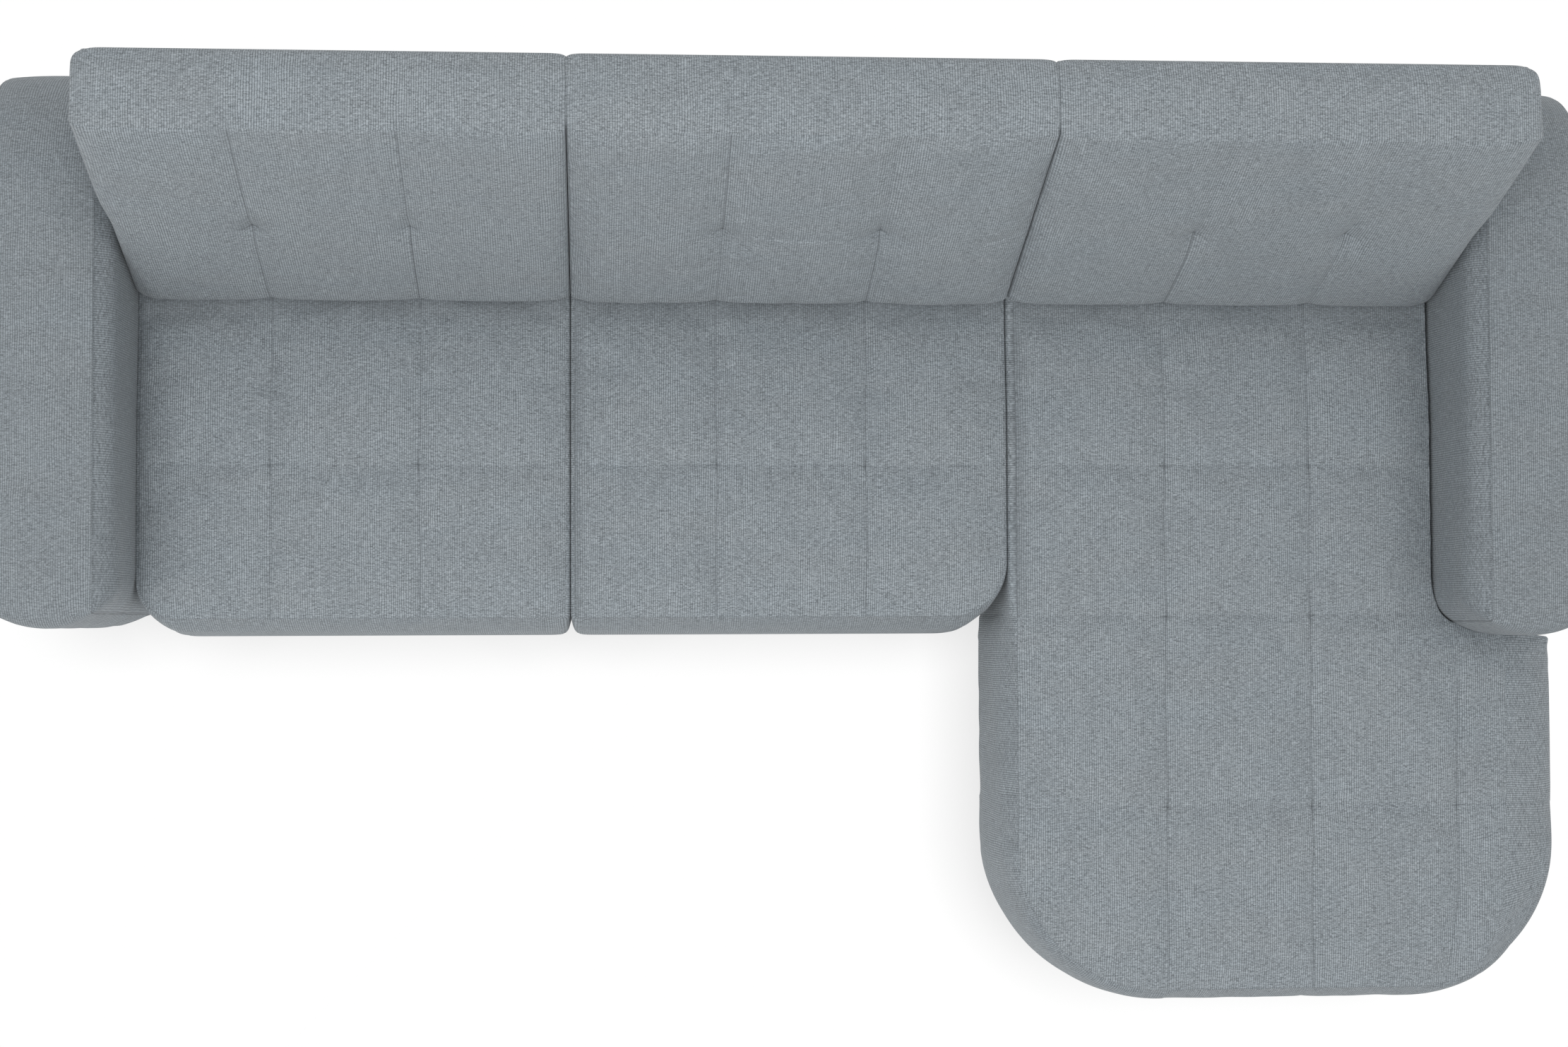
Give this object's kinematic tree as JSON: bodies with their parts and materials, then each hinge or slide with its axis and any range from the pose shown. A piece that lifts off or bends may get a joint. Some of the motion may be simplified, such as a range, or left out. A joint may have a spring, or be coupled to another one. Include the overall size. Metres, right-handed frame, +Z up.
{
  "type": "lounge sofa",
  "caption": "Upholstered corner lounge sofa with a rounded chaise at one end, separate leaning tufted backs, channelled seats and rounded arms.",
  "frame": {"origin": "centre of the overall box at floor level, under the feet's glides", "axes": "+X to the sitter's left-hand end seen from the front, that is to the right in the picture, where the chaise is; +Y to the rear, behind the backs; +Z up"},
  "size_m": [2.478, 1.464, 0.93],
  "materials": {
    "cover_fabric": "matte",
    "foam": "matte",
    "felt": "matte",
    "spring_steel": "satin",
    "timber": "matte",
    "plywood": "matte",
    "dust_cloth": "matte",
    "webbing": "matte",
    "foot_wood": "satin",
    "glide_plastic": "matte",
    "fixings": "satin"
  },
  "bodies": {
    "root": {"left_seat_cover": "cover_fabric", "left_seat_foam": "foam", "left_seat_felt": "felt", "left_seat_springs": "spring_steel", "left_spring_clips": "spring_steel", "left_side_rails": "timber", "left_cross_rails": "timber", "left_corner_blocks": "plywood", "left_dust_cover": "dust_cloth", "middle_seat_cover": "cover_fabric", "middle_seat_foam": "foam", "middle_seat_felt": "felt", "middle_seat_springs": "spring_steel", "middle_spring_clips": "spring_steel", "middle_side_rails": "timber", "middle_cross_rails": "timber", "middle_corner_blocks": "plywood", "middle_dust_cover": "dust_cloth", "chaise_seat_cover": "cover_fabric", "chaise_seat_foam": "foam", "chaise_seat_felt": "felt", "chaise_seat_springs": "spring_steel", "chaise_spring_clips": "spring_steel", "chaise_side_rails": "timber", "chaise_cross_rails": "timber", "chaise_corner_blocks": "plywood", "chaise_dust_cover": "dust_cloth", "left_back_cover": "cover_fabric", "left_back_foam": "foam", "left_back_webbing": "webbing", "left_back_posts": "plywood", "left_back_rails": "timber", "left_rear_panel": "cover_fabric", "middle_back_cover": "cover_fabric", "middle_back_foam": "foam", "middle_back_webbing": "webbing", "middle_back_posts": "plywood", "middle_back_rails": "timber", "middle_rear_panel": "cover_fabric", "chaise_back_cover": "cover_fabric", "chaise_back_foam": "foam", "chaise_back_webbing": "webbing", "chaise_back_posts": "plywood", "chaise_back_rails": "timber", "chaise_rear_panel": "cover_fabric", "left_arm_cover": "cover_fabric", "left_arm_foam": "foam", "left_arm_frame": "plywood", "right_arm_cover": "cover_fabric", "right_arm_foam": "foam", "right_arm_frame": "plywood", "feet": "foot_wood", "foot_glides": "glide_plastic", "foot_bolts": "fixings", "foot_nuts": "fixings", "unit_bolts": "fixings", "arm_bolts": "fixings", "back_screws": "fixings"}
  },
  "joints": []
}
